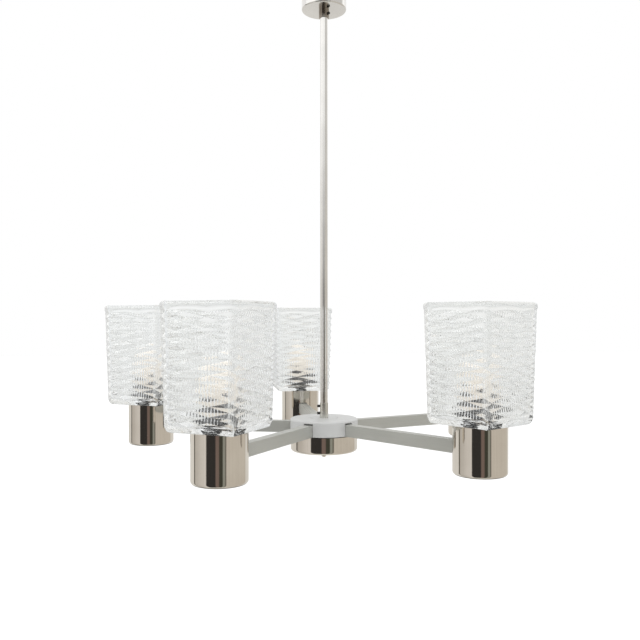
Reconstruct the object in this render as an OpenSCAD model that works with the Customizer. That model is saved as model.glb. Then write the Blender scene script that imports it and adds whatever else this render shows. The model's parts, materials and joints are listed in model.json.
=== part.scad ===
// Five-arm hanging lamp: a stem, a hub with five rectangular arms, and a lamp at the end of each arm.
// Millimetres, +Z up. The origin is the centre of the eye that hangs on the ceiling hook.

/* [Overall] */
// Eye centre down to the middle of the arms
drop = 605; // [300:5:1200]
// Hub axis to lamp axis
arm_reach = 240; // [180:5:400]

/* [Canopy] */
// Outside diameter of the canopy
canopy_d = 59; // [56:1:90]
// Height of the canopy
canopy_h = 75; // [70:1:120]
// Canopy rim above the eye centre
canopy_rise = 20; // [18:1:24]

/* [Stem] */
// Outside diameter of the stem and of the threaded tubes
stem_d = 10; // [9.5:0.1:10.2]
// Outside diameter of the coupler at the foot of the stem
coupler_d = 11.4; // [11.2:0.1:14]
// Length of the coupler
coupler_h = 20; // [18:1:30]

/* [Hub] */
// Diameter of the hub disc
hub_d = 89; // [84:1:120]
// Height of the hub disc
hub_h = 19.5; // [19:0.5:24]
// Diameter of the cover under the disc
cover_d = 88; // [84:1:118]
// Height of the cover
cover_h = 22; // [20:1:40]

/* [Arms] */
// Width of an arm
arm_w = 12; // [12:0.5:14]
// Height of an arm
arm_h = 15; // [14:0.5:16]
// Wall of the arm tube
arm_wall = 1.5; // [1:0.1:1.8]

/* [Lamps] */
// Diameter of a lamp cup
cup_d = 60; // [52:1:70]
// Height of a lamp cup
cup_h = 55; // [50:1:70]
// Side of the glass shade at its rim
shade_side = 92; // [80:1:110]
// Height of the glass shade
shade_h = 133; // [110:1:180]
// Side of the shade's foot as a share of its rim
shade_taper = 0.94; // [0.85:0.01:1]
// Glass wall
shade_wall = 5; // [4:0.5:6]
// Diameter of the bulb's globe
bulb_d = 40; // [35:1:45]
// Overall length of the bulb with its cap
bulb_h = 72; // [70:1:86]

/* [Hidden] */
$fn = 96;
hull_fn = 32;
lamps = 5;
// How far each shade is turned on its ring, counted from square to its arm
shade_turns = [0, -15, 4, -4, 0];

// Fits
slide_gap = 0.08;
fixed_gap = 0.05;
part_gap = 0.3;
rest_gap = 0.2;

// Ceiling end, heights above the eye centre
sheet = 1;
eye_bore_d = 17;
eye_plate_d = 30;
eye_plate_t = 4;
boss_d = 16;
boss_top = -10;
boss_bottom = -34;
stem_top = -21;
chamber_d = 9;
chamber_top = -12.5;
cable_d = 5;
cable_bend = 4.5;
cable_exit_z = -15.5;
nut_d = 16.2;
canopy_bottom = canopy_rise - canopy_h;
collar_d = 13.5;
collar_h = 9;
screw_d = 3.5;

// Hub, heights above the middle of the arms
hub_bottom = -arm_h / 2;
hub_top = hub_bottom + hub_h;
slot_roof = 3;
disc_edge_r = 2.4;
slot_inner_r = 13.5;
slot_w = arm_w + 0.5;
arm_inner_r = 20;
plate_t = 3;
plate_d = hub_d - 9;
plate_bottom = hub_bottom - plate_t;
hub_nut_h = 5;
cover_top = hub_bottom - 1;
cover_bottom = cover_top - cover_h;
nipple_bore_d = 7;
nipple_bottom = cover_bottom - 4;
stem_foot = hub_top + coupler_h / 2;
arm_screw_r = 33;
wire_hole_r = 16;
wire_d = 3;
wire_bend = 4;
block_size = [14, 20, 14];
block_x = 16;
block_hole_depth = 7;
block_screw_h = 6;
// The hub's terminal block sits between the arms of lamps 5 and 1
hub_block_turn = 54;
hub_cable_z = plate_bottom - block_size[2] / 2 - 3.5;

// Lamp, heights above the middle of the arms
cup_wall = 1.2;
cup_top = cup_h / 2;
cup_bottom = -cup_h / 2;
cup_nut_h = 3;
cup_edge_r = 4;
holder_d = 28;
holder_bottom = arm_h / 2;
holder_top = cup_top + 20.5;
holder_floor = holder_bottom + 7.5;
holder_bore_d = 18.2;
nipple_top = holder_floor - 1;
shell_d = 14.5;
shell_h = 19;
cap_d = 13.9;
cap_h = 24;
cap_bottom = holder_floor + 2;
neck_d = 17;
shade_bottom = cup_top + rest_gap;
shade_hole_d = 29;
shade_corner = 8;
shade_rim = 4;
ring_bottom = shade_bottom + shade_wall + rest_gap;
ring_flange_d = 43;
ring_flange_h = 3;
ring_skirt_d = 34;
ring_h = 12;
support_d = 52;
support_h = 3;
wire_rise_x = -11;

PLAIN_NODES = ["hanging_eye", "eye_lock_nut", "ceiling_terminal_block", "terminal_screws", "canopy",
    "canopy_collar", "canopy_grub_screw", "stem_tube", "stem_cable", "stem_coupler",
    "coupler_grub_screws", "hub_disc", "hub_nipple", "clamp_plate", "arm_screws", "hub_nut",
    "hub_terminal_block", "hub_cover", "cover_nut", "lamp_nipples", "lamp_nuts", "cup_nuts",
    "holder_contacts", "support_rings", "lamp_wires"];
LAMP_NODES = ["arm_", "cup_", "lampholder_", "shade_ring_", "shade_", "bulb_cap_", "bulb_globe_"];

// Colours
nickel = [0.78, 0.75, 0.70];
satin = [0.76, 0.77, 0.76];
steel = [0.62, 0.63, 0.64];
brass = [0.80, 0.66, 0.34];
black = [0.07, 0.07, 0.07];
plastic = [0.88, 0.87, 0.82];
glass = [0.86, 0.90, 0.91, 0.45];
opal = [0.98, 0.90, 0.80];

function lamp_angle(i) = 90 + (i - 1) * 360 / lamps;

// Places

module at_hub()
    translate([0, 0, -drop]) children();

// An arm's own frame: +X out along the arm, from the hub axis
module at_arm(i)
    at_hub() rotate([0, 0, lamp_angle(i)]) children();

// A lamp's own frame: its axis is the lamp axis, and -X is towards the hub
module at_lamp(i)
    at_arm(i) translate([arm_reach, 0, 0]) children();

module each_lamp()
    for (i = [1:lamps]) at_lamp(i) children();

// Shared shapes

module tube(outer_d, inner_d, z0, z1)
    difference() {
        translate([0, 0, z0]) cylinder(d = outer_d, h = z1 - z0);
        translate([0, 0, z0 - 1]) cylinder(d = inner_d, h = z1 - z0 + 2);
    }

module hex_nut(z0, h, bore_d)
    difference() {
        translate([0, 0, z0]) cylinder(d = nut_d, h = h, $fn = 6);
        translate([0, 0, z0 - 1]) cylinder(d = bore_d, h = h + 2);
    }

// A solid of revolution with a round lower edge
module round_foot(d, h, r)
    rotate_extrude()
        union() {
            square([d / 2 - r, h]);
            translate([0, r]) square([d / 2, h - r]);
            translate([d / 2 - r, r]) circle(r);
        }

// A pressed can, open at the top, with a round hole in its floor
module can(d, h, wall, edge_r, hole_d)
    difference() {
        round_foot(d, h, edge_r);
        translate([0, 0, wall]) round_foot(d - 2 * wall, h, edge_r - wall / 2);
        translate([0, 0, -1]) cylinder(d = hole_d, h = wall + 2);
    }

// A quarter turn of round cable from vertical at the origin to horizontal along +X, above
module elbow(d, bend)
    translate([bend, 0, 0]) rotate([90, 0, 0]) rotate([0, 0, 90])
        rotate_extrude(angle = 90) translate([bend, 0]) circle(d = d);

module terminal_block(size)
    difference() {
        translate([0, -size[1] / 2, 0]) cube(size);
        terminal_row(size, screw_d + 2 * slide_gap, -1, block_hole_depth);
    }

// A row of three upright cylinders across a terminal block
module terminal_row(size, d, z0, z1)
    for (way = [-1:1])
        translate([size[0] / 2, way * size[1] / 3, z0]) cylinder(d = d, h = z1 - z0);

module block_screws()
    terminal_row(block_size, screw_d, block_hole_depth - block_screw_h, block_hole_depth);

// Ceiling end

module hanging_eye()
    color(steel) difference() {
        union() {
            rotate([90, 0, 0]) cylinder(d = eye_plate_d, h = eye_plate_t, center = true);
            translate([0, 0, boss_bottom]) cylinder(d = boss_d, h = boss_top - boss_bottom);
        }
        rotate([90, 0, 0]) cylinder(d = eye_bore_d, h = boss_d + 2, center = true);
        translate([0, 0, boss_bottom - 1])
            cylinder(d = stem_d + 2 * fixed_gap, h = stem_top - boss_bottom + 1.2);
        translate([0, 0, stem_top]) cylinder(d = chamber_d, h = chamber_top - stem_top);
        translate([0, 0, cable_exit_z]) rotate([0, 90, 0]) cylinder(d = cable_d + 0.6, h = boss_d);
    }

module eye_lock_nut()
    color(steel) hex_nut(boss_bottom - 4, 4, stem_d + 2 * fixed_gap);

module at_ceiling_block()
    translate([11.5, 0, cable_exit_z - cable_bend - block_size[2]]) children();

module ceiling_terminal_block()
    color(plastic) at_ceiling_block() terminal_block(block_size);

module at_hub_block()
    at_hub() rotate([0, 0, hub_block_turn])
        translate([block_x, 0, plate_bottom - block_size[2]]) children();

module hub_terminal_block()
    color(plastic) at_hub_block() terminal_block(block_size);

module terminal_screws()
    color(brass) {
        at_ceiling_block() block_screws();
        at_hub_block() block_screws();
    }

module canopy()
    color(nickel) translate([0, 0, canopy_bottom])
        can(canopy_d, canopy_h, sheet, 2, stem_d + 2 * part_gap);

module canopy_collar()
    color(nickel) difference() {
        tube(collar_d, stem_d + 2 * slide_gap, canopy_bottom - collar_h, canopy_bottom);
        canopy_screw_line(screw_d + 2 * fixed_gap);
    }

module canopy_screw_line(d)
    translate([0, 0, canopy_bottom - collar_h * 0.53]) rotate([0, 0, -50]) rotate([0, 90, 0])
        translate([0, 0, stem_d / 2 + slide_gap]) cylinder(d = d, h = 4);

module canopy_grub_screw()
    color(black) canopy_screw_line(screw_d);

// Stem

module stem_tube()
    color(nickel) tube(stem_d, stem_d - 2, stem_foot - drop, stem_top);

module stem_cable()
    color(black) {
        cable_foot = hub_cable_z + cable_bend - drop;
        straight_top = cable_exit_z - cable_bend;
        translate([0, 0, cable_foot]) cylinder(d = cable_d, h = straight_top - cable_foot);
        translate([0, 0, straight_top]) elbow(cable_d, cable_bend);
        translate([cable_bend, 0, cable_exit_z]) rotate([0, 90, 0]) cylinder(d = cable_d, h = 10);
        translate([cable_bend * 2 + 10, 0, straight_top]) mirror([1, 0, 0]) elbow(cable_d, cable_bend);
        translate([0, 0, cable_foot]) rotate([0, 0, hub_block_turn]) {
            mirror([0, 0, 1]) elbow(cable_d, cable_bend);
            translate([cable_bend, 0, -cable_bend]) rotate([0, 90, 0])
                cylinder(d = cable_d, h = block_x - cable_bend);
        }
    }

module stem_coupler()
    color(nickel) at_hub() difference() {
        tube(coupler_d, stem_d + 2 * fixed_gap, hub_top, hub_top + coupler_h);
        coupler_screw_lines(screw_d);
    }

// The coupler's two screws, which press on the stem and on the threaded tube
module coupler_screw_lines(d)
    for (z = [0.31, 0.78] * coupler_h)
        translate([0, 0, hub_top + z]) rotate([0, 0, 171]) rotate([0, 90, 0])
            translate([0, 0, stem_d / 2]) cylinder(d = d, h = 4);

module coupler_grub_screws()
    color(black) at_hub() coupler_screw_lines(screw_d);

// Hub

module hub_disc()
    color(satin) at_hub() difference() {
        translate([0, 0, hub_top]) mirror([0, 0, 1]) round_foot(hub_d, hub_h, disc_edge_r);
        translate([0, 0, hub_bottom - 1]) cylinder(d = stem_d + 2 * fixed_gap, h = hub_h + 2);
        tube(37, 35.6, hub_top - 0.4, hub_top + 1);
        for (i = [1:lamps])
            rotate([0, 0, lamp_angle(i)])
                translate([slot_inner_r, -slot_w / 2, hub_bottom - 1])
                    cube([hub_d, slot_w, hub_h - slot_roof + 1]);
    }

module hub_nipple()
    color(steel) at_hub() difference() {
        tube(stem_d, nipple_bore_d, nipple_bottom, stem_foot - 1);
        rotate([0, 0, hub_block_turn])
            translate([0, -nipple_bore_d / 2, hub_cable_z - cable_d / 2 - 0.5])
                cube([stem_d, nipple_bore_d, cable_d + cable_bend]);
    }

module clamp_plate()
    color(steel) at_hub() difference() {
        tube(plate_d, stem_d + 2 * fixed_gap, plate_bottom, hub_bottom);
        for (i = [1:lamps])
            rotate([0, 0, lamp_angle(i)]) {
                translate([arm_screw_r, 0, plate_bottom - 1]) cylinder(d = 4.2, h = plate_t + 2);
                translate([wire_hole_r, 0, plate_bottom - 1]) cylinder(d = wire_d + 2, h = plate_t + 2);
            }
    }

module arm_screws()
    color(steel) for (i = [1:lamps])
        at_arm(i) translate([arm_screw_r, 0, 0]) {
            translate([0, 0, plate_bottom - 2.6]) cylinder(d = 7, h = 2.6);
            translate([0, 0, plate_bottom]) cylinder(d = 4, h = plate_t + arm_wall + 1.5);
        }

module hub_nut()
    color(steel) at_hub() hex_nut(plate_bottom - hub_nut_h, hub_nut_h, stem_d + 2 * fixed_gap);

module hub_cover()
    color(nickel) at_hub() translate([0, 0, cover_bottom])
        can(cover_d, cover_h, sheet, 4, stem_d + 2 * part_gap);

module cover_nut()
    color(nickel) at_hub() difference() {
        translate([0, 0, cover_bottom]) mirror([0, 0, 1]) {
            cylinder(d = 14, h = 4);
            translate([0, 0, 4]) cylinder(d1 = 14, d2 = 9, h = 2);
            translate([0, 0, 6.2]) sphere(d = 7);
        }
        translate([0, 0, nipple_bottom]) cylinder(d = stem_d + 2 * fixed_gap, h = 10);
    }

// Arms

module arm(i)
    color(satin) at_arm(i) difference() {
        translate([arm_inner_r, -arm_w / 2, -arm_h / 2])
            cube([arm_reach + 11 - arm_inner_r, arm_w, arm_h]);
        translate([arm_inner_r - 1, -arm_w / 2 + arm_wall, -arm_h / 2 + arm_wall])
            cube([arm_reach + 20, arm_w - 2 * arm_wall, arm_h - 2 * arm_wall]);
        translate([arm_reach, 0, -arm_h]) cylinder(d = stem_d + 2 * fixed_gap, h = 2 * arm_h);
        translate([arm_screw_r, 0, -arm_h]) cylinder(d = 4.1, h = arm_h);
        translate([arm_reach + wire_rise_x, 0, 0]) cylinder(d = wire_d + 1, h = arm_h);
    }

// Twin wire of each lamp: up out of the hub cover, along inside the arm, up to the lampholder
module lamp_wires()
    color(plastic) for (i = [1:lamps])
        at_arm(i) {
            rise_top = -wire_bend;
            run_start = wire_hole_r + wire_bend;
            run_end = arm_reach + wire_rise_x - wire_bend;
            translate([wire_hole_r, 0, plate_bottom - 4])
                cylinder(d = wire_d, h = rise_top - plate_bottom + 4);
            translate([wire_hole_r, 0, rise_top]) elbow(wire_d, wire_bend);
            translate([run_start, 0, 0]) rotate([0, 90, 0]) cylinder(d = wire_d, h = run_end - run_start);
            translate([run_end + wire_bend, 0, wire_bend]) rotate([0, 180, 0]) elbow(wire_d, wire_bend);
            translate([run_end + wire_bend, 0, wire_bend])
                cylinder(d = wire_d, h = holder_bottom - wire_bend);
        }

// Lamps

module lamp_nipples()
    color(steel) each_lamp()
        tube(stem_d, nipple_bore_d, cup_bottom - cup_nut_h + 0.5, nipple_top);

// On each threaded tube: one nut under the arm and one on the floor of the cup
module lamp_nuts()
    color(steel) each_lamp() {
        hex_nut(-arm_h / 2 - 4, 4, stem_d + 2 * fixed_gap);
        hex_nut(cup_bottom + cup_wall, 4, stem_d + 2 * fixed_gap);
    }

module cup_nuts()
    color(nickel) each_lamp() difference() {
        translate([0, 0, cup_bottom]) mirror([0, 0, 1]) {
            cylinder(d = 16, h = cup_nut_h - 1);
            translate([0, 0, cup_nut_h - 1]) cylinder(d1 = 16, d2 = 14, h = 1);
        }
        translate([0, 0, cup_bottom - cup_nut_h + 0.5])
            cylinder(d = stem_d + 2 * fixed_gap, h = cup_nut_h);
    }

// The cup, with the window that the arm enters by
module cup(i)
    color(nickel) at_lamp(i) difference() {
        translate([0, 0, cup_bottom])
            can(cup_d, cup_h, cup_wall, cup_edge_r, stem_d + 2 * fixed_gap);
        translate([-cup_d, -arm_w / 2 - 0.7, -arm_h / 2 - 0.4])
            cube([cup_d, arm_w + 1.4, arm_h + 1.4]);
    }

module lampholder(i)
    color(black) at_lamp(i) difference() {
        union() {
            translate([0, 0, holder_bottom]) cylinder(d1 = 25, d2 = holder_d - 1, h = 8);
            translate([0, 0, holder_bottom + 8]) cylinder(d = holder_d - 1, h = 6);
            translate([0, 0, holder_bottom + 14])
                cylinder(d = holder_d, h = holder_top - holder_bottom - 15);
            translate([0, 0, holder_top - 1]) cylinder(d1 = holder_d, d2 = holder_d - 2, h = 1);
        }
        translate([0, 0, holder_bottom - 1])
            cylinder(d = stem_d + 2 * fixed_gap, h = nipple_top - holder_bottom + 1);
        translate([0, 0, holder_floor]) cylinder(d = holder_bore_d, h = holder_top);
    }

// In each lampholder: the threaded brass shell and the centre contact
module holder_contacts()
    color(brass) each_lamp() {
        tube(holder_bore_d - 2 * fixed_gap, shell_d, holder_floor, holder_floor + shell_h);
        translate([0, 0, holder_floor]) cylinder(d = 6, h = cap_bottom - holder_floor - part_gap);
    }

// Threaded on each lampholder level with the cup's rim: the ring that the glass rests on
module support_rings()
    color(black) each_lamp()
        tube(support_d, holder_d + 2 * fixed_gap, cup_top - support_h, cup_top);

// The ring above the glass, which clamps it
module shade_ring(i)
    color(black) at_lamp(i) translate([0, 0, ring_bottom]) difference() {
        union() {
            cylinder(d = ring_flange_d, h = ring_flange_h);
            cylinder(d = ring_skirt_d, h = ring_h);
        }
        translate([0, 0, -1]) cylinder(d = holder_d + 2 * part_gap, h = ring_h + 2);
    }

// Four equal shapes at the corners of a square
module corners(side, r)
    for (x = [-1, 1], y = [-1, 1])
        translate([x * (side / 2 - r), y * (side / 2 - r), 0]) children();

// The outside or the inside of the glass: square in plan, round at its edges, wider at the rim
module shade_body(inset, z0, z1)
    hull() {
        foot = shade_side * shade_taper - 2 * inset;
        rim = shade_side - 2 * inset;
        r = shade_corner - inset / 2;
        translate([0, 0, z0 + r]) corners(foot, r) sphere(r = r, $fn = hull_fn);
        translate([0, 0, z1 - shade_rim]) corners(rim, r) cylinder(r = r, h = 0.01, $fn = hull_fn);
        translate([0, 0, z1 - 0.01])
            corners(rim - 2 * shade_rim + inset, r) cylinder(r = r, h = 0.01, $fn = hull_fn);
    }

module shade(i)
    color(glass) at_lamp(i) rotate([0, 0, shade_turns[i - 1]]) difference() {
        shade_body(0, shade_bottom, shade_bottom + shade_h);
        shade_body(shade_wall, shade_bottom + shade_wall, shade_bottom + shade_h + shade_rim);
        translate([0, 0, shade_bottom - 1]) cylinder(d = shade_hole_d, h = shade_wall + 2);
    }

module bulb_cap(i)
    color(brass) at_lamp(i) translate([0, 0, cap_bottom]) {
        cylinder(d = 5, h = 1.5);
        translate([0, 0, 1.5]) cylinder(d1 = 8, d2 = cap_d, h = 3);
        translate([0, 0, 4.5]) cylinder(d = cap_d, h = cap_h - 9.5);
        translate([0, 0, cap_h - 5]) cylinder(d1 = cap_d, d2 = neck_d, h = 5);
    }

module bulb_form(inset)
    union() {
        ball_z = cap_bottom + bulb_h - bulb_d / 2;
        neck_z = cap_bottom + cap_h + inset;
        cone_z = holder_top + 2;
        translate([0, 0, ball_z]) sphere(d = bulb_d - 2 * inset);
        translate([0, 0, neck_z]) cylinder(d = neck_d - 2 * inset, h = cone_z - neck_z);
        translate([0, 0, cone_z])
            cylinder(d1 = neck_d - 2 * inset, d2 = bulb_d * 0.82 - 2 * inset,
                h = ball_z - cone_z - bulb_d * 0.28);
    }

module bulb_globe(i)
    color(opal) at_lamp(i) difference() {
        bulb_form(0);
        bulb_form(0.8);
    }

hanging_eye();
eye_lock_nut();
ceiling_terminal_block();
terminal_screws();
canopy();
canopy_collar();
canopy_grub_screw();
stem_tube();
stem_cable();
stem_coupler();
coupler_grub_screws();
hub_disc();
hub_nipple();
clamp_plate();
arm_screws();
hub_nut();
hub_terminal_block();
hub_cover();
cover_nut();
lamp_nipples();
lamp_nuts();
cup_nuts();
holder_contacts();
support_rings();
lamp_wires();
for (i = [1:lamps]) {
    arm(i);
    cup(i);
    lampholder(i);
    shade_ring(i);
    shade(i);
    bulb_cap(i);
    bulb_globe(i);
}
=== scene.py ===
import json
import math

import bmesh
import bpy
import numpy as np
from mathutils import Matrix, Vector


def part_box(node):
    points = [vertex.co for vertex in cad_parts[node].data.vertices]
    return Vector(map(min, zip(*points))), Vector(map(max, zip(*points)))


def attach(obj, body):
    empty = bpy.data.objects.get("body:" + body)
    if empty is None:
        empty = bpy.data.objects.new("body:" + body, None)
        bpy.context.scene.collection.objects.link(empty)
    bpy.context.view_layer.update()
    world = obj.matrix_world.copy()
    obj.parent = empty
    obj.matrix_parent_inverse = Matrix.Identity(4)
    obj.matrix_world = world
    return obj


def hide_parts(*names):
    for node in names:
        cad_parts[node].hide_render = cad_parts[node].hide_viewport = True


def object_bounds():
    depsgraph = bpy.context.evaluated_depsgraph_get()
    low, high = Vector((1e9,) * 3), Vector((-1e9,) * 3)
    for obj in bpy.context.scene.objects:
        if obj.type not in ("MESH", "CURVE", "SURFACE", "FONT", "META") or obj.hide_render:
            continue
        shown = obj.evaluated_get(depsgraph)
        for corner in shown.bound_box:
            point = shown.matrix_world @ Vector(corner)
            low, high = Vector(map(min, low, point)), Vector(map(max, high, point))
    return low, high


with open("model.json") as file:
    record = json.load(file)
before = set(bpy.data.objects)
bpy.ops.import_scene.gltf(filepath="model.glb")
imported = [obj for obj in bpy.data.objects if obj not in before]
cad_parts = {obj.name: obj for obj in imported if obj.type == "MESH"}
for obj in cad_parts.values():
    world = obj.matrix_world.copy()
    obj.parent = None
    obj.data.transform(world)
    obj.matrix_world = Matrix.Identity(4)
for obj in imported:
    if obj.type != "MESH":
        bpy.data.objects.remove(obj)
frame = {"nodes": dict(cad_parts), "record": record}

# Five-arm hanging lamp. The metal parts are the frame's own nodes with procedural finishes; the pressed
# glass shades, the black rings and the bulb caps are modelled here, with their relief, ribs and threads.
# Metres, in the frame's axes: +Z up the stem, lamp 1 on +Y, lamps 2 to 5 anticlockwise from above.

CAD_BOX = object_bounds()
MM = 0.001
LAMPS = range(1, 6)
# Each shade's turn on its ring, counted from square to its arm, in degrees
SHADE_TURNS = {1: 0, 2: -15, 3: 4, 4: -4, 5: 0}


# ---------------------------------------------------------------- places

def centre_of(node):
    low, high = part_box(node)
    return (low + high) / 2


def lamp_place(i, turn=0.0):
    """Where lamp i stands: its axis at the height of the arms' middle, +X outwards."""
    axis = centre_of(f"cup_{i}")
    angle = math.atan2(axis.y, axis.x) + math.radians(turn)
    return Matrix.Translation((axis.x, axis.y, centre_of("arm_1").z)) @ Matrix.Rotation(angle, 4, "Z")


# ---------------------------------------------------------------- shader helpers

class Shading:
    """Makes the texture nodes of one node tree."""

    def __init__(self, tree, coordinates):
        self.nodes = tree.nodes
        self.links = tree.links
        self.place = self.add("ShaderNodeTexCoord").outputs[coordinates]

    def add(self, kind, **settings):
        node = self.nodes.new(kind)
        for key, value in settings.items():
            setattr(node, key, value)
        return node

    def feed(self, socket, value):
        if isinstance(value, (int, float)):
            socket.default_value = value
        else:
            self.links.new(value, socket)

    def mapped(self, scale=(1, 1, 1), turn=(0, 0, 0)):
        """The coordinates, turned and stretched."""
        turned_place = self.add("ShaderNodeVectorRotate", rotation_type="EULER_XYZ")
        turned_place.inputs["Rotation"].default_value = turn
        self.links.new(self.place, turned_place.inputs["Vector"])
        node = self.add("ShaderNodeVectorMath", operation="MULTIPLY")
        node.inputs[1].default_value = scale
        self.links.new(turned_place.outputs["Vector"], node.inputs[0])
        return node.outputs["Vector"]

    def noise(self, scale, detail=3.0, roughness=0.55, vector=None):
        node = self.add("ShaderNodeTexNoise")
        node.inputs["Scale"].default_value = scale
        node.inputs["Detail"].default_value = detail
        node.inputs["Roughness"].default_value = roughness
        self.links.new(vector or self.place, node.inputs["Vector"])
        return node.outputs["Fac"]

    def cells(self, scale):
        """Distance to the nearest of many scattered points."""
        node = self.add("ShaderNodeTexVoronoi", feature="F1")
        node.inputs["Scale"].default_value = scale
        self.links.new(self.place, node.inputs["Vector"])
        return node.outputs["Distance"]

    def math(self, operation, *values):
        node = self.add("ShaderNodeMath", operation=operation)
        for socket, value in zip(node.inputs, values):
            self.feed(socket, value)
        return node.outputs["Value"]

    def parts(self):
        """X, Y and Z of the coordinates."""
        node = self.add("ShaderNodeSeparateXYZ")
        self.links.new(self.place, node.inputs["Vector"])
        return node.outputs

    def toward(self, way):
        """How nearly the coordinates point this way: 1 for exactly."""
        node = self.add("ShaderNodeVectorMath", operation="DOT_PRODUCT")
        node.inputs[1].default_value = way
        self.links.new(self.place, node.inputs[0])
        return node.outputs["Value"]

    def spread(self, value, low, high, new_low, new_high, smooth=False):
        """value from low..high moved to new_low..new_high, and held there."""
        node = self.add("ShaderNodeMapRange", clamp=True)
        node.interpolation_type = "SMOOTHSTEP" if smooth else "LINEAR"
        for socket, number in zip(list(node.inputs)[1:5], (low, high, new_low, new_high)):
            socket.default_value = number
        self.links.new(value, node.inputs["Value"])
        return node.outputs["Result"]

    def colours(self, value, *stops):
        """A ramp of (position, (r, g, b)) stops."""
        ramp = self.add("ShaderNodeValToRGB")
        elements = ramp.color_ramp.elements
        while len(elements) < len(stops):
            elements.new(1.0)
        for element, (position, colour) in zip(elements, stops):
            element.position = position
            element.color = (*colour, 1)
        self.links.new(value, ramp.inputs["Fac"])
        return ramp.outputs["Color"]

    def blend(self, factor, a, b):
        """Colour a where factor is 0, colour b where it is 1, and in proportion beyond."""
        node = self.add("ShaderNodeMix", data_type="RGBA", clamp_factor=False)
        self.feed(node.inputs["Factor"], factor)
        for socket, value in (("A", a), ("B", b)):
            target = next(s for s in node.inputs if s.name == socket and s.type == "RGBA")
            if isinstance(value, tuple):
                target.default_value = (*value, 1)
            else:
                self.links.new(value, target)
        return next(s for s in node.outputs if s.type == "RGBA")


class Finish(Shading):
    """A procedural material: one Principled shader and the texture nodes that feed it."""

    def __init__(self, name, roughness=0.5, metallic=0.0, **sockets):
        self.material = bpy.data.materials.new(name)
        self.material.use_nodes = True
        super().__init__(self.material.node_tree, "Object")
        self.shader = self.nodes["Principled BSDF"]
        self.shader.inputs["Roughness"].default_value = roughness
        self.shader.inputs["Metallic"].default_value = metallic
        for socket, value in sockets.items():
            self.shader.inputs[socket.replace("_", " ")].default_value = value

    def base(self, colour):
        self.links.new(colour, self.shader.inputs["Base Color"])

    def rough(self, value):
        self.links.new(value, self.shader.inputs["Roughness"])

    def bump(self, height, distance, strength=1.0):
        """Adds one more layer of bump; distance is in metres."""
        node = self.add("ShaderNodeBump")
        node.inputs["Strength"].default_value = strength
        node.inputs["Distance"].default_value = distance
        normal = self.shader.inputs["Normal"]
        if normal.is_linked:
            self.links.new(normal.links[0].from_socket, node.inputs["Normal"])
        self.links.new(height, node.inputs["Height"])
        self.links.new(node.outputs["Normal"], normal)


# ---------------------------------------------------------------- finishes

# A point of a cup nearer to the cup's sides or underside than this is on its outside
CUP_WALL = 0.9 * MM
CUP_FLOOR = 0.6 * MM


def polished_nickel(name, least_rough=0.035, dark=(0.74, 0.70, 0.645), pale=(0.81, 0.775, 0.72), cup=None):
    """Nickel plate. A cup's node gets painted shade inside, a near-black tone on its inner wall and floor,
    and is rougher there.
    """
    f = Finish(name, metallic=1.0)
    cloud = f.noise(22.0, 4.0)
    plate = f.colours(cloud, (0.3, dark), (0.7, pale))
    wipes = f.noise(160.0, 5.0, 0.7, f.mapped((1, 1, 0.05)))
    specks = f.spread(f.cells(420.0), 0.0, 0.09, 0.22, 0.0)
    rough = f.math("ADD", f.spread(wipes, 0.35, 0.75, least_rough, least_rough + 0.07), specks)
    if cup:
        inside = inside_of(f, cup)
        # Painted shade: the cup's inner wall and floor take this near-black tone in place of the plate's
        # colour
        painted_shade = f.colours(f.noise(90.0, 4.0), (0.3, (0.10, 0.095, 0.09)), (0.7, (0.20, 0.19, 0.17)))
        plate = f.blend(inside, plate, painted_shade)
        rough = f.math("MAXIMUM", rough, f.math("MULTIPLY", inside, 0.45))
    f.base(plate)
    f.rough(rough)
    f.bump(f.noise(60.0, 2.0), 0.02 * MM)
    return f.material


def inside_of(f, cup):
    """1 on the inner wall and floor of a cup, where the painted shade goes, 0 outside."""
    low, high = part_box(cup)
    middle = (low + high) / 2
    x, y, z = f.parts()
    across = [f.math("SUBTRACT", way, at) for way, at in ((x, middle.x), (y, middle.y))]
    radius = f.math("SQRT", f.math("ADD", *(f.math("MULTIPLY", a, a) for a in across)))
    within = f.math("LESS_THAN", radius, (high.x - low.x) / 2 - CUP_WALL)
    return f.math("MULTIPLY", within, f.math("GREATER_THAN", z, low.z + CUP_FLOOR))


# Abrasive lines per metre: along and across an arm, and across the rings of turned parts
ARM_GRAIN = (14, 900, 900)
TURNED_GRAIN = 1100.0


def satin_aluminium(name, grain, metallic, dark, pale):
    """grain gives the coordinates, stretched along the lines that the abrasive left."""
    f = Finish(name, metallic=metallic)
    lines = f.noise(1.0, 5.0, 0.65, grain(f))
    cloud = f.noise(9.0, 3.0)
    tone = f.math("ADD", f.math("MULTIPLY", lines, 0.55), f.math("MULTIPLY", cloud, 0.45))
    f.base(f.colours(tone, (0.30, dark), (0.70, pale)))
    f.rough(f.spread(lines, 0.3, 0.7, 0.34, 0.50))
    f.bump(lines, 0.04 * MM, 0.6)
    return f.material


def along(angle):
    """Grain along an arm that lies at this angle."""
    return lambda f: f.mapped(ARM_GRAIN, (0, 0, -angle))


def turned(f):
    """Fine rings round the stem's axis, as a lathe leaves them."""
    x, y, z = f.parts()
    radius = f.math("SQRT", f.math("ADD", f.math("MULTIPLY", x, x), f.math("MULTIPLY", y, y)))
    join = f.add("ShaderNodeCombineXYZ")
    f.links.new(f.math("MULTIPLY", radius, TURNED_GRAIN), join.inputs["X"])
    f.links.new(f.math("MULTIPLY", z, TURNED_GRAIN), join.inputs["Y"])
    return join.outputs["Vector"]


def clouded(name, cloud, dark, pale, rough, grain, bump, metallic=0.0):
    """A finish that drifts between two colours and two roughnesses, under a fine grain."""
    f = Finish(name, metallic=metallic)
    tone = f.noise(*cloud)
    f.base(f.colours(tone, (0.3, dark), (0.7, pale)))
    f.rough(f.spread(tone, 0.3, 0.7, *rough))
    f.bump(f.noise(*grain), bump, 0.4)
    return f.material


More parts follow.
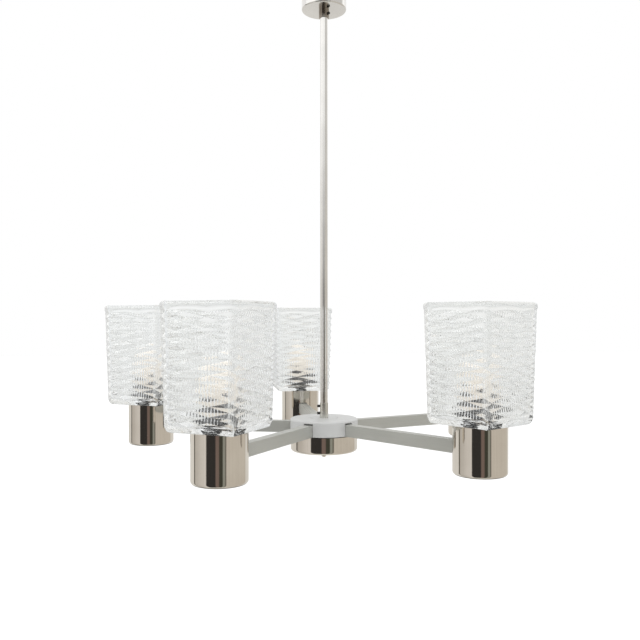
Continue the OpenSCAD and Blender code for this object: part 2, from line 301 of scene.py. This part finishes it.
def zinc_steel():
    f = Finish("zinc_steel", metallic=1.0)
    cloud = f.noise(120.0, 5.0, 0.65)
    grey, pale, straw = (0.50, 0.51, 0.53), (0.63, 0.64, 0.65), (0.66, 0.64, 0.56)
    f.base(f.colours(cloud, (0.3, grey), (0.55, pale), (0.75, straw)))
    f.rough(f.spread(cloud, 0.3, 0.7, 0.22, 0.42))
    f.bump(f.noise(900.0, 3.0), 0.03 * MM, 0.5)
    return f.material


def black_steel():
    f = Finish("black_steel", metallic=0.8)
    cloud = f.noise(700.0, 4.0)
    f.base(f.colours(cloud, (0.35, (0.020, 0.020, 0.021)), (0.7, (0.060, 0.058, 0.055))))
    f.rough(f.spread(cloud, 0.3, 0.7, 0.30, 0.52))
    f.bump(cloud, 0.03 * MM, 0.5)
    return f.material


def black_bakelite():
    f = Finish("black_bakelite", Specular_IOR_Level=0.55)
    swirl = f.noise(70.0, 6.0, 0.7)
    f.base(f.colours(swirl, (0.35, (0.060, 0.058, 0.060)), (0.75, (0.110, 0.105, 0.106))))
    f.rough(f.spread(f.noise(260.0, 4.0), 0.3, 0.7, 0.16, 0.34))
    f.bump(f.noise(500.0, 3.0), 0.02 * MM, 0.5)
    return f.material


def pressed_glass():
    """Clear glass, faintly uneven from the mould."""
    f = Finish("pressed_glass", 0.0, Transmission_Weight=1.0, IOR=1.5)
    streaks = f.noise(30.0, 3.0, vector=f.mapped((1, 1, 0.6)))
    f.base(f.colours(streaks, (0.3, (0.982, 0.990, 0.988)), (0.7, (0.994, 0.998, 0.996))))
    f.bump(f.noise(140.0, 2.0), 0.4 * MM, 0.35)
    return f.material


def opal_glass():
    """Opal glass, which glows a little, so that it shows against white."""
    f = Finish("opal_glass", 0.2, Coat_Weight=1.0, Coat_Roughness=0.05, Emission_Strength=0.64)
    f.shader.inputs["Emission Color"].default_value = (1.0, 0.935, 0.84, 1)
    cloud = f.noise(45.0, 3.0)
    f.base(f.colours(cloud, (0.3, (0.28, 0.255, 0.22)), (0.7, (0.33, 0.305, 0.27))))
    f.rough(f.spread(f.noise(300.0, 2.0), 0.3, 0.7, 0.14, 0.24))
    return f.material


# The finish of each material slot of the record
FINISHES = {
    "polished_nickel": polished_nickel("polished_nickel"),
    "satin_aluminium": satin_aluminium(
        "satin_turned", turned, metallic=0.15, dark=(0.52, 0.525, 0.52), pale=(0.60, 0.605, 0.60)),
    "zinc_steel": zinc_steel(),
    "brass": clouded(
        "brass", cloud=(180.0, 4.0), dark=(0.62, 0.45, 0.18), pale=(0.82, 0.66, 0.34),
        rough=(0.18, 0.38), grain=(1300.0, 2.0), bump=0.02 * MM, metallic=1.0),
    "black_steel": black_steel(),
    "black_bakelite": black_bakelite(),
    "terminal_plastic": clouded(
        "terminal_plastic", cloud=(150.0, 4.0), dark=(0.70, 0.68, 0.60), pale=(0.82, 0.80, 0.73),
        rough=(0.42, 0.60), grain=(1500.0, 2.0), bump=0.03 * MM),
    "cable_sheath": clouded(
        "cable_sheath", cloud=(90.0, 3.0), dark=(0.60, 0.58, 0.52), pale=(0.74, 0.72, 0.66),
        rough=(0.40, 0.58), grain=(1100.0, 2.0), bump=0.04 * MM),
    "pressed_glass": pressed_glass(),
    "opal_glass": opal_glass(),
    "bulb_cap_metal": clouded(
        "bulb_cap_metal", cloud=(300.0, 4.0), dark=(0.58, 0.57, 0.54), pale=(0.74, 0.73, 0.70),
        rough=(0.16, 0.34), grain=(1500.0, 2.0), bump=0.02 * MM, metallic=1.0),
}

# Nickel that is less bright than the rest: its name, least roughness, dark and pale colour, and nodes
DULLER_NICKEL = (
    ("handled_nickel", 0.10, (0.77, 0.76, 0.745), (0.85, 0.84, 0.825), ("stem_tube", "canopy")),
    ("drawn_nickel", 0.25, (0.62, 0.62, 0.58), (0.75, 0.745, 0.70), ("stem_coupler",)),
    # The collar's nickel is made much darker than the rest
    ("aged_nickel", 0.22, (0.32, 0.285, 0.25), (0.46, 0.42, 0.375), ("canopy_collar",)),
)


def dress(obj, material):
    obj.data.materials.clear()
    obj.data.materials.append(material)


def dress_frame():
    """Gives every node of the frame its finish. The arms' grain runs along each arm, and the cups have
    painted shade inside."""
    nodes = frame["nodes"]
    for part in frame["record"]["subparts"]:
        dress(nodes[part["node"]], FINISHES[part["material_slot"]])
    for *plate, names in DULLER_NICKEL:
        duller = polished_nickel(*plate)
        for name in names:
            dress(nodes[name], duller)
    for i in LAMPS:
        axis = centre_of(f"cup_{i}")
        arm = satin_aluminium(
            f"satin_arm_{i}", along(math.atan2(axis.y, axis.x)),
            metallic=0.5, dark=(0.415, 0.42, 0.39), pale=(0.50, 0.505, 0.475))
        dress(nodes[f"arm_{i}"], arm)
        dress(nodes[f"cup_{i}"], polished_nickel(f"cup_nickel_{i}", cup=f"cup_{i}"))


# ---------------------------------------------------------------- mesh helpers

class Rings:
    """A closed surface made of rings of points, each joined to the next."""

    def __init__(self):
        self.points = []
        self.faces = []
        self.flat_faces = set()
        self.starts = []
        self.counts = []

    def ring(self, points):
        """Adds a ring and returns its number."""
        self.starts.append(len(self.points))
        self.counts.append(len(points))
        self.points.extend(map(tuple, points))
        return len(self.starts) - 1

    def join(self, a, b, slant=None, flat=False):
        """Joins ring a to ring b, which has as many points or a whole number of times as many.
        slant(k) says which way the quad k is cut in two; without it quads stay whole."""
        if self.counts[a] > self.counts[b]:
            self._join(b, a, slant, flat, True)
        else:
            self._join(a, b, slant, flat, False)

    def _join(self, a, b, slant, flat, swapped):
        n, times = self.counts[a], self.counts[b] // self.counts[a]
        first = len(self.faces)
        for k in range(n):
            a0, a1 = self.starts[a] + k, self.starts[a] + (k + 1) % n
            fine = [self.starts[b] + (k * times + j) % (n * times) for j in range(times + 1)]
            if times > 1:
                middle = (times + 1) // 2
                made = [(a0, fine[j + 1], fine[j]) for j in range(middle)]
                made.append((a0, a1, fine[middle]))
                made += [(a1, fine[j + 1], fine[j]) for j in range(middle, times)]
            elif slant is None:
                made = [(a0, a1, fine[1], fine[0])]
            elif slant(k):
                made = [(a0, a1, fine[1]), (a0, fine[1], fine[0])]
            else:
                made = [(a0, a1, fine[0]), (a1, fine[1], fine[0])]
            self.faces += [face[::-1] for face in made] if swapped else made
        if flat:
            self.flat_faces.update(range(first, len(self.faces)))

    def mesh(self, name):
        mesh = bpy.data.meshes.new(name)
        mesh.from_pydata(self.points, [], self.faces)
        smooth = np.ones(len(self.faces), dtype=bool)
        smooth[list(self.flat_faces)] = False
        mesh.polygons.foreach_set("use_smooth", smooth)
        work = bmesh.new()
        work.from_mesh(mesh)
        bmesh.ops.recalc_face_normals(work, faces=work.faces)
        work.to_mesh(mesh)
        work.free()
        mesh.update()
        return mesh


def add_piece(name, mesh, body, slot, replaced):
    """Puts a piece in the scene in place of a CAD node."""
    obj = bpy.data.objects.new(name, mesh)
    bpy.context.scene.collection.objects.link(obj)
    dress(obj, FINISHES[slot])
    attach(obj, body)
    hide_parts(replaced)
    return obj


# ---------------------------------------------------------------- pressed glass shades

# Round the shade's plan, a square with round corners, run columns of points: 3 to each small cell of the
# star relief outside, and 5 times as many inside, where 5 make one flute.
CELL_STEPS = 3
SIDE_STEPS = 8 * CELL_STEPS
CORNER_STEPS = 2 * CELL_STEPS
INSIDE_STEPS = 5
FLUTE_STEPS = 5
# Rows of points down the outside: to the foot of the wall, to where the relief ends under the bottom, and
# over which it fades in and out
WALL_ROWS = 46 * CELL_STEPS
RELIEF_ROWS = 49 * CELL_STEPS
FADE_ROWS = CELL_STEPS
# The shell: its corners outside and inside, its foot's side as a share of its rim's, its thickness, the
# band below the rim that stays plain, the rounding of the rim, and the hole for the lampholder
CORNER_R = 8 * MM
INNER_R = 5.5 * MM
LEAST_R = 0.6 * MM
TAPER = 0.94
WALL = 5 * MM
PLAIN_RIM = 6.5 * MM
RIM_R = 3.6 * MM
INNER_RIM_R = 1.2 * MM
HOLE_R = 14.5 * MM
HOLE_EDGE = 0.5 * MM
# The relief: its depth, the share of it that is left at the shade's corners, and the heights of the points
# between the tops, which are 1, and the stars' centres, which are 0
RELIEF = 3.6 * MM
CORNER_SHARE = 0.3
RIDGE = 0.44
CREASE = 0.20
MOULD_SEED = 11
MOULD_UNEVEN = 0.06
# The flutes: their depth at the foot and at the top, the height over which they run out at both ends, and
# the number of rings between
FLUTE = 0.64 * MM
FLUTE_TOP = 0.25 * MM
FLUTE_FADE = 4 * MM
FLUTE_RINGS = 9


def rounded_square(half, corner, inside=False):
    """Points round a square with round corners, from the middle of a corner, and their outward ways."""
    times = INSIDE_STEPS if inside else 1
    steps, bend = SIDE_STEPS * times, CORNER_STEPS * times
    core = half - corner
    points, outward = [], []
    for side in range(4):
        spin = Matrix.Rotation(math.radians(90 * side), 3, "Z")
        for k in range(steps):
            run = min(max((k - bend / 2) / (steps - bend), 0), 1)
            past_flat = k - bend / 2 - run * (steps - bend)
            way = math.radians(90 + 90 * past_flat / bend)
            direction = Vector((math.cos(way), math.sin(way), 0))
            points.append(spin @ (Vector((core - 2 * core * run, core, 0)) + corner * direction))
            outward.append(spin @ direction)
    return np.array(points), np.array(outward)


def circle(radius, count):
    """Points round a circle, from the same side as rounded_square's."""
    angles = math.pi / 4 + np.arange(count) * 2 * math.pi / count
    return np.stack([radius * np.cos(angles), radius * np.sin(angles), 0 * angles], axis=1)


def at_height(points, z):
    return points + np.array([0, 0, z])


def star_height(column, row):
    """The relief's height at a corner of its small cells: 1 on the tops, 0 at the stars' centres."""
    i, j = min(column % 4, -column % 4), min(row % 4, -row % 4)
    if i == 1 and j == 1:
        return CREASE
    if i == 1 or j == 1:
        return RIDGE
    return 1.0 if i == j else 0.0


def rising(column, row):
    """Whether the crease of this small cell rises with its columns and rows."""
    return (column + row) % 2 == 0


class StarRelief:
    """Depth of the star pattern below the outer face, flat from crease to crease."""

    def __init__(self):
        columns, rows = 4 * SIDE_STEPS // CELL_STEPS, RELIEF_ROWS // CELL_STEPS
        uneven = np.random.default_rng(MOULD_SEED).uniform(-1, 1, (columns, rows + 1)) * MOULD_UNEVEN
        self.corners = np.array([[star_height(i - 1, j) for j in range(rows + 1)] for i in range(columns)])
        self.corners += uneven * (self.corners > 0) * (self.corners < 1)

    def depth(self, step, row):
        """How far the point at this step round and row down lies below the outer face."""
        i, u = divmod(step, CELL_STEPS)
        j, v = divmod(row, CELL_STEPS)
        u, v = u / CELL_STEPS, v / CELL_STEPS
        near, far = self.corners[i], self.corners[(i + 1) % len(self.corners)]
        j_next = min(j + 1, self.corners.shape[1] - 1)
        h00, h01, h10, h11 = near[j], near[j_next], far[j], far[j_next]
        if rising(i - 1, j) and u >= v:
            height = h00 + (u * (h10 - h00) + v * (h11 - h10))
        elif rising(i - 1, j):
            height = h00 + (v * (h01 - h00) + u * (h11 - h01))
        elif u + v <= 1:
            height = h00 + u * (h10 - h00) + v * (h01 - h00)
        else:
            height = h11 + (1 - u) * (h01 - h11) + (1 - v) * (h10 - h11)
        fade = min(1, row / FADE_ROWS, (RELIEF_ROWS - row) / FADE_ROWS)
        from_corner = min(step % SIDE_STEPS, -step % SIDE_STEPS) / CORNER_STEPS
        return RELIEF * fade * min(1, CORNER_SHARE + from_corner) * (1 - height)


def shade_mesh():
    """The shade of every lamp, in its lamp's own place: over the rim and down the outside, through the
    hole in the bottom, and up the inside to the rim again."""
    low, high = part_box("shade_1")
    arm_z = centre_of("arm_1").z
    bottom, top = low.z - arm_z, high.z - arm_z
    rim = (high.x - low.x) / 2
    foot = rim * TAPER
    rings = Rings()

    def half_at(z):
        """Half the outer side at this height."""
        share = (z - bottom - CORNER_R) / (top - RIM_R - bottom - CORNER_R)
        return foot + (rim - foot) * min(max(share, 0), 1)

    def ring_at(points, z):
        return rings.ring(at_height(points, z))

    def follow(previous, ring, **how):
        """Joins the ring to the previous one, and is the next one's previous."""
        rings.join(previous, ring, **how)
        return ring

    first = last = None
    for angle in np.radians([90, 60, 30, 0]):
        half = half_at(top - RIM_R) - RIM_R * (1 - math.cos(angle))
        ring = ring_at(rounded_square(half, CORNER_R)[0], top - RIM_R * (1 - math.sin(angle)))
        if last is None:
            first = ring
        else:
            rings.join(last, ring)
        last = ring

    # The outer wall, and its round lower edge as far as the relief goes
    relief = StarRelief()
    wall_top, wall_foot = top - PLAIN_RIM, bottom + CORNER_R
    row_height = (wall_top - wall_foot) / WALL_ROWS
    for row in range(RELIEF_ROWS + 1):
        bent = max(row - WALL_ROWS, 0) * row_height / CORNER_R
        z = wall_top - min(row, WALL_ROWS) * row_height - CORNER_R * math.sin(bent)
        half = half_at(z) - CORNER_R * (1 - math.cos(bent))
        points, outward = rounded_square(half, CORNER_R * math.cos(bent))
        depths = np.array([relief.depth(step, row) for step in range(len(points))])
        inward = at_height(-outward * math.cos(bent), math.sin(bent))
        ring = ring_at(points + inward * depths[:, None], z)
        cell_row = (row - 1) // CELL_STEPS
        slant = (lambda k: rising(k // CELL_STEPS - 1, cell_row)) if row else None
        last = follow(last, ring, slant=slant, flat=row > 0)

    # The rest of that edge, the underside, and the hole
    for angle in np.radians([62, 76, 90]):
        corner = max(CORNER_R * math.cos(angle), LEAST_R)
        half = foot - CORNER_R * (1 - math.cos(angle))
        points = rounded_square(half, corner)[0]
        last = follow(last, ring_at(points, bottom + CORNER_R * (1 - math.sin(angle))))
    edge = circle(HOLE_R + HOLE_EDGE, len(points))
    for share in (0.35, 0.7, 1.0):
        last = follow(last, ring_at(points * (1 - share) + edge * share, bottom))
    hole = circle(HOLE_R, len(points))
    last = follow(last, ring_at(hole, bottom + HOLE_EDGE))
    last = follow(last, ring_at(hole, bottom + WALL - HOLE_EDGE))

    # The floor inside, and its round edge
    edge = circle(HOLE_R + HOLE_EDGE, len(points) * INSIDE_STEPS)
    inner_foot = foot - WALL
    points = rounded_square(inner_foot - INNER_R, LEAST_R, inside=True)[0]
    for share in (0, 0.35, 0.7):
        last = follow(last, ring_at(edge * (1 - share) + points * share, bottom + WALL))
    for angle in np.radians([90, 72, 54, 36, 18]):
        corner = max(INNER_R * math.cos(angle), LEAST_R)
        half = inner_foot - INNER_R * (1 - math.cos(angle))
        points = rounded_square(half, corner, inside=True)[0]
        last = follow(last, ring_at(points, bottom + WALL + INNER_R * (1 - math.sin(angle))))

    # The fluted inner wall, and the inner edge of the rim
    flute = 0.5 - 0.5 * np.cos(2 * math.pi * np.arange(len(points)) / FLUTE_STEPS)
    flutes_foot, flutes_top = bottom + WALL + INNER_R, top - PLAIN_RIM
    stops = [0, 0.25, 0.5, 0.75, 1]
    heights = [flutes_foot + FLUTE_FADE * s for s in stops[:-1]]
    heights += list(np.linspace(flutes_foot + FLUTE_FADE, flutes_top - FLUTE_FADE, FLUTE_RINGS))
    heights += [flutes_top - FLUTE_FADE * (1 - s) for s in stops[1:]]
    for z in heights:
        share = min((z - flutes_foot) / FLUTE_FADE, (flutes_top - z) / FLUTE_FADE, 1)
        points, outward = rounded_square(half_at(z) - WALL, INNER_R, inside=True)
        depth = FLUTE + (FLUTE_TOP - FLUTE) * (z - flutes_foot) / (flutes_top - flutes_foot)
        ease = depth * math.sin(share * math.pi / 2)
        last = follow(last, ring_at(points - outward * (ease * flute)[:, None], z))
    for angle in np.radians([0, 30, 60, 90]):
        half = half_at(top) - WALL + INNER_RIM_R * (1 - math.cos(angle))
        points = rounded_square(half, INNER_R, inside=True)[0]
        last = follow(last, ring_at(points, top - INNER_RIM_R * (1 - math.sin(angle))))
    rings.join(last, first)
    return rings.mesh("pressed_glass_shade")


def make_shades():
    mesh = shade_mesh()
    for i in LAMPS:
        placed = mesh.copy()
        placed.transform(lamp_place(i, SHADE_TURNS[i]))
        add_piece(f"glass_shade_{i}", placed, f"glass_{i}", "pressed_glass", f"shade_{i}")


# ---------------------------------------------------------------- lampholders, rings and bulb caps

ROUND_POINTS = 96
EDGE = 0.4 * MM
# The lampholder: the hole in its base, its bore and the bore's floor, its base, the step where its outer
# thread starts, how much slimmer it is than the thread below and above it, and the thread
NIPPLE_R = 5.05 * MM
BORE_R = 9.1 * MM
BORE_FLOOR = 7.5 * MM
BASE_R = 12.5 * MM
BASE_H = 8 * MM
THREAD_FOOT = 14 * MM
BODY_INSET = 0.5 * MM
TOP_INSET = 1 * MM
HOLDER_PITCH = 2.5 * MM
HOLDER_THREAD = 0.9 * MM
HOLDER_STEPS = 12  # rings of points for each turn of the thread
# The ring over the glass: its bore, its skirt and its flange, with lobes round the flange and ribs round
# the skirt
RING_BORE_R = 14.3 * MM
RING_SKIRT_R = 17 * MM
RING_FLANGE = 3 * MM
RING_LOBES = 16
RING_LOBE = 1.1 * MM
RING_RIBS = 48
RING_RIB = 0.35 * MM
# The bulb's cap: its contact and the cone round it, the threaded barrel between its foot and the distance
# from the cap's top where the thread ends, and the distance from the top where the collar starts
AXIS_R = 0.05 * MM
CONTACT_R = 2.5 * MM
CONTACT_EDGE = 0.5 * MM
CONTACT_H = 1.5 * MM
CONE_R = 4.0 * MM
CONE_H = 4.5 * MM
BARREL_R = 6.95 * MM
BARREL_FOOT = 4.8 * MM
BARREL_TOP = 5.5 * MM
COLLAR_FOOT = 5 * MM
CAP_PITCH = 2.82 * MM
CAP_THREAD = 0.75 * MM
CAP_STEPS = 10
# A thread's wave is a cosine this steep, cut off at its crests and roots
THREAD_STEEP = 0.8
THREAD_CUT = 0.5


def turned_mesh(name, profile, place):
    """A closed body round a lamp's axis. Each stop of the profile is a radius, a height and, where the
    body is not round there, the change of radius at each angle."""
    rings = Rings()
    angles = np.arange(ROUND_POINTS) * 2 * math.pi / ROUND_POINTS
    for radius, z, *shape in profile:
        radii = radius + (shape[0](angles) if shape else 0 * angles)
        rings.ring(np.stack([radii * np.cos(angles), radii * np.sin(angles), 0 * angles + z], axis=1))
    for k in range(len(profile)):
        rings.join(k, (k + 1) % len(profile))
    mesh = rings.mesh(name)
    mesh.transform(place)
    return mesh


def thread_wave(turns, depth):
    """The change of radius at each angle, this many turns up a thread."""
    def wave(angles):
        steep = THREAD_STEEP * np.cos(2 * math.pi * turns - angles)
        return depth * (np.clip(steep, -THREAD_CUT, THREAD_CUT) - THREAD_CUT)
    return wave


def thread(radius, low, high, pitch, depth, steps):
    """The stops of a rounded helical thread, which runs out at both ends."""
    stops = []
    for z in np.linspace(low, high, round((high - low) / pitch * steps) + 1):
        ease = min(1, (z - low) / pitch, (high - z) / pitch)
        stops.append((radius, z, thread_wave(z / pitch, ease * depth)))
    return stops


def lobes(count, depth, sharpness=3):
    """Notches round an edge, narrow beside the lobes between them."""
    return lambda angles: -depth * (0.5 + 0.5 * np.cos(count * angles)) ** sharpness


def node_span(node):
    """A node's lowest and highest point, counted from the middle of the arms, and its radius."""
    low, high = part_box(node)
    arm_z = centre_of("arm_1").z
    return low.z - arm_z, high.z - arm_z, (high.x - low.x) / 2


def lampholder_profile():
    low, high, radius = node_span("lampholder_1")
    body, step = radius - BODY_INSET, low + THREAD_FOOT
    stops = [(NIPPLE_R, low), (BASE_R - EDGE, low), (BASE_R, low + EDGE), (body, low + BASE_H),
             (body, step - EDGE), (radius - HOLDER_THREAD, step)]
    stops += thread(radius, step + EDGE, high - TOP_INSET, HOLDER_PITCH, HOLDER_THREAD, HOLDER_STEPS)
    stops += [(radius - TOP_INSET, high), (BORE_R + EDGE, high), (BORE_R, high - EDGE),
              (BORE_R, low + BORE_FLOOR), (NIPPLE_R, low + BORE_FLOOR)]
    return stops


def shade_ring_profile():
    low, high, radius = node_span("shade_ring_1")
    flange = low + RING_FLANGE
    edge, ribs = lobes(RING_LOBES, RING_LOBE), lobes(RING_RIBS, RING_RIB, 1)
    return [(RING_BORE_R, low + EDGE), (RING_BORE_R + EDGE, low),
            (radius - 2 * EDGE, low, edge), (radius, low + 2 * EDGE, edge),
            (radius, flange - 2 * EDGE, edge), (radius - 2 * EDGE, flange, edge),
            (RING_SKIRT_R, flange, ribs), (RING_SKIRT_R, high - 2 * EDGE, ribs),
            (RING_SKIRT_R - EDGE, high - EDGE, ribs), (RING_SKIRT_R - 2 * EDGE, high),
            (RING_BORE_R + EDGE, high), (RING_BORE_R, high - EDGE)]


def bulb_cap_profile():
    low, high, radius = node_span("bulb_cap_1")
    stops = [(AXIS_R, low), (CONTACT_R - CONTACT_EDGE, low), (CONTACT_R, low + CONTACT_EDGE),
             (CONTACT_R, low + CONTACT_H), (CONE_R, low + CONTACT_H), (BARREL_R - CAP_THREAD, low + CONE_H)]
    stops += thread(BARREL_R, low + BARREL_FOOT, high - BARREL_TOP, CAP_PITCH, CAP_THREAD, CAP_STEPS)
    stops += [(BARREL_R, high - COLLAR_FOOT), (radius - EDGE, high - EDGE), (radius, high), (AXIS_R, high)]
    return stops


def make_turned_parts():
    kinds = (("lampholder", lampholder_profile(), "frame", "black_bakelite", "threaded_lampholder"),
             ("shade_ring", shade_ring_profile(), "ring_{}", "black_bakelite", "notched_ring"),
             ("bulb_cap", bulb_cap_profile(), "bulb_{}", "bulb_cap_metal", "threaded_cap"))
    for node, profile, body, slot, name in kinds:
        for i in LAMPS:
            mesh = turned_mesh(f"{name}_{i}", profile, lamp_place(i))
            add_piece(mesh.name, mesh, body.format(i), slot, f"{node}_{i}")


# ---------------------------------------------------------------- studio

CAMERA_PLACE = (-0.1578, -0.9628, -0.4637)
CAMERA_YAW = -9.0
CAMERA_LENS = 41.48
CAMERA_SENSOR = 36.0
FLOOR_BELOW = 0.25
FLOOR_SIZE = 8.0

BLACK = (0.0, 0.0, 0.0)
WHITE = (1.0, 1.0, 1.0)

# What stands round the lamp, by azimuth in degrees anticlockwise from +X: the bands that the polished
# metal mirrors, each up to the next one's start. A band with two colours goes from one to the other.
WHITE_WALL = (0.75, 0.73, 0.69)
SHADED_WALL = (0.51, 0.48, 0.44)
PALE_WALL = (0.74, 0.705, 0.665)
BEIGE_WALL = (0.60, 0.555, 0.49)
BLACK_SCREEN = (0.038, 0.035, 0.033)
BROWN_SCREEN = (0.19, 0.14, 0.12)
GREEN_SCREEN = (0.056, 0.056, 0.042)
GREY_SCREEN = (0.30, 0.305, 0.265)
DARK_FRAME = (0.077, 0.069, 0.053)
GREY_FRAME = (0.17, 0.16, 0.135)
ROOM = (
    (0, BEIGE_WALL), (31, WHITE_WALL), (151, DARK_FRAME), (157, SHADED_WALL, PALE_WALL),
    (215, BLACK_SCREEN), (253, BROWN_SCREEN), (267, GREEN_SCREEN), (281, GREY_SCREEN),
    (290, GREY_FRAME), (295, BEIGE_WALL))
# How far each side of its start a band blends into the last one, in degrees, and how fine the upright
# streaks over the bands are and between what factors they vary
BAND_EDGE = 0.8
STREAKS = 14
STREAK_LIGHT = (0.92, 1.08)
# The ceiling over the bands: its colour, and from what height to what height on the unit sphere it comes
# in, from nothing to how much
CEILING = (1.30, 1.30, 1.28)
CEILING_RISE = (-0.05, 0.32, 0, 0.85)
# High walls where no ceiling shows: the way to the middle of each, how nearly that way a ray points at the
# wall's edge, and its colour
HIGH_WALLS = (
    ((0.87, -0.5, 0.0), (0.66, 0.74), (0.67, 0.66, 0.64)),
    ((-0.04, 1.0, 0.0), (0.40, 0.48), (1.02, 1.01, 1.00)))
# The ground under the bands: its colour, and from what height down to what height it comes in
GROUND = (0.72, 0.70, 0.64)
GROUND_EDGE = (-0.80, -0.92)
# The light on matt surfaces, from below to above and from the left to the right
SOFT_UPWARD = (1.15, 1.30)
SOFT_SIDES = (0.92, 1.08)
# What is seen through the glass and mirrored on it, each from what height to what height on the unit sphere
# it goes from what light to what: cooler on the window's side, and with a bright spot that makes the facets
# sparkle
THROUGH_GLASS = (-0.35, 0.45, 0.70, 0.95)
OFF_GLASS = (0.0, 0.8, 0.4, 2.1)
WINDOW_SIDE = (0.985, 1.0, 1.015)
LAMP_SIDE = (1.0, 0.995, 0.965)
SPOT_WAY = (-0.815, -0.07, 0.574)
SPOT_EDGE = 0.93
SPOT_CORE = 0.98
SPOT_LIGHT = 2.0
# A ray crosses many faces of the glass before it gets through
BOUNCES = 32


def make_camera():
    camera = bpy.data.objects.new("camera", bpy.data.cameras.new("camera"))
    bpy.context.scene.collection.objects.link(camera)
    camera.location = CAMERA_PLACE
    camera.rotation_euler = (math.pi / 2, 0, math.radians(CAMERA_YAW))
    camera.data.lens = CAMERA_LENS
    camera.data.sensor_width = CAMERA_SENSOR
    bpy.context.scene.camera = camera


def make_floor():
    """A pale sheet of paper under the lamp, which neither metal nor glass shows."""
    mesh = bpy.data.meshes.new("floor")
    z = CAD_BOX[0].z - FLOOR_BELOW
    corners = [(x * FLOOR_SIZE, y * FLOOR_SIZE, z) for x, y in ((-1, -1), (1, -1), (1, 1), (-1, 1))]
    mesh.from_pydata(corners, [], [(0, 1, 2, 3)])
    floor = bpy.data.objects.new("floor", mesh)
    bpy.context.scene.collection.objects.link(floor)
    paper = Finish("floor_paper", 0.9)
    paper.base(paper.colours(paper.noise(6.0), (0.3, (0.90, 0.90, 0.90)), (0.7, (0.92, 0.92, 0.92))))
    dress(floor, paper.material)
    floor.visible_glossy = False
    floor.visible_transmission = False


def make_room():
    """The studio as a world: white for the camera, soft light for matt surfaces, and the bands of the
    room for what mirrors or bends light."""
    world = bpy.data.worlds.new("studio")
    bpy.context.scene.world = world
    world.use_nodes = True
    sky = Shading(world.node_tree, "Generated")
    x, y, z = sky.parts()
    turn = sky.math("DIVIDE", sky.math("ARCTAN2", y, x), 2 * math.pi)
    azimuth = sky.math("FRACT", sky.math("ADD", turn, 1.0))
    stops = [(0.0, ROOM[0][1])]
    for (_, *before), (start, *colours) in zip(ROOM, ROOM[1:]):
        stops += [((start - BAND_EDGE) / 360, before[-1]), ((start + BAND_EDGE) / 360, colours[0])]
    streaks = sky.noise(1.0, 4.0, vector=sky.mapped((STREAKS, STREAKS, 0)))
    bands = sky.blend(sky.spread(streaks, 0.3, 0.7, *STREAK_LIGHT), BLACK, sky.colours(azimuth, *stops))
    above = CEILING
    for way, edge, colour in HIGH_WALLS:
        above = sky.blend(sky.spread(sky.toward(way), *edge, 0, 1), above, colour)
    bands = sky.blend(sky.spread(z, *CEILING_RISE), bands, above)
    bands = sky.blend(sky.spread(z, *GROUND_EDGE, 0, 1, smooth=True), bands, GROUND)

    sides = sky.blend(sky.spread(x, -1, 1, 0, 1), WINDOW_SIDE, LAMP_SIDE)
    rays = sky.add("ShaderNodeLightPath").outputs
    entered = sky.math("GREATER_THAN", rays["Transmission Depth"], 0.5)
    spot = sky.spread(sky.toward(SPOT_WAY), SPOT_EDGE, SPOT_CORE, 0, SPOT_LIGHT, smooth=True)
    mirrored = sky.math("ADD", sky.spread(z, *OFF_GLASS), spot)
    level = sky.blend(entered, mirrored, sky.spread(z, *THROUGH_GLASS))
    glass = sky.blend(level, BLACK, sides)

    soft = sky.math("MULTIPLY", sky.spread(z, -1, 1, *SOFT_UPWARD), sky.spread(x, -1, 1, *SOFT_SIDES))
    light = sky.blend(rays["Is Glossy Ray"], soft, bands)
    light = sky.blend(rays["Is Singular Ray"], light, glass)
    light = sky.blend(rays["Is Camera Ray"], light, WHITE)
    sky.links.new(light, sky.nodes["Background"].inputs["Color"])


def set_looks():
    """Colours as they are, no noise, and rays that get through the glass."""
    scene = bpy.context.scene
    scene.view_settings.view_transform = "Standard"
    scene.cycles.use_denoising = True
    scene.cycles.max_bounces = BOUNCES
    scene.cycles.transmission_bounces = BOUNCES
    scene.cycles.glossy_bounces = BOUNCES


make_camera()
make_floor()
make_room()
set_looks()
dress_frame()
make_shades()
make_turned_parts()

bpy.context.view_layer.update()
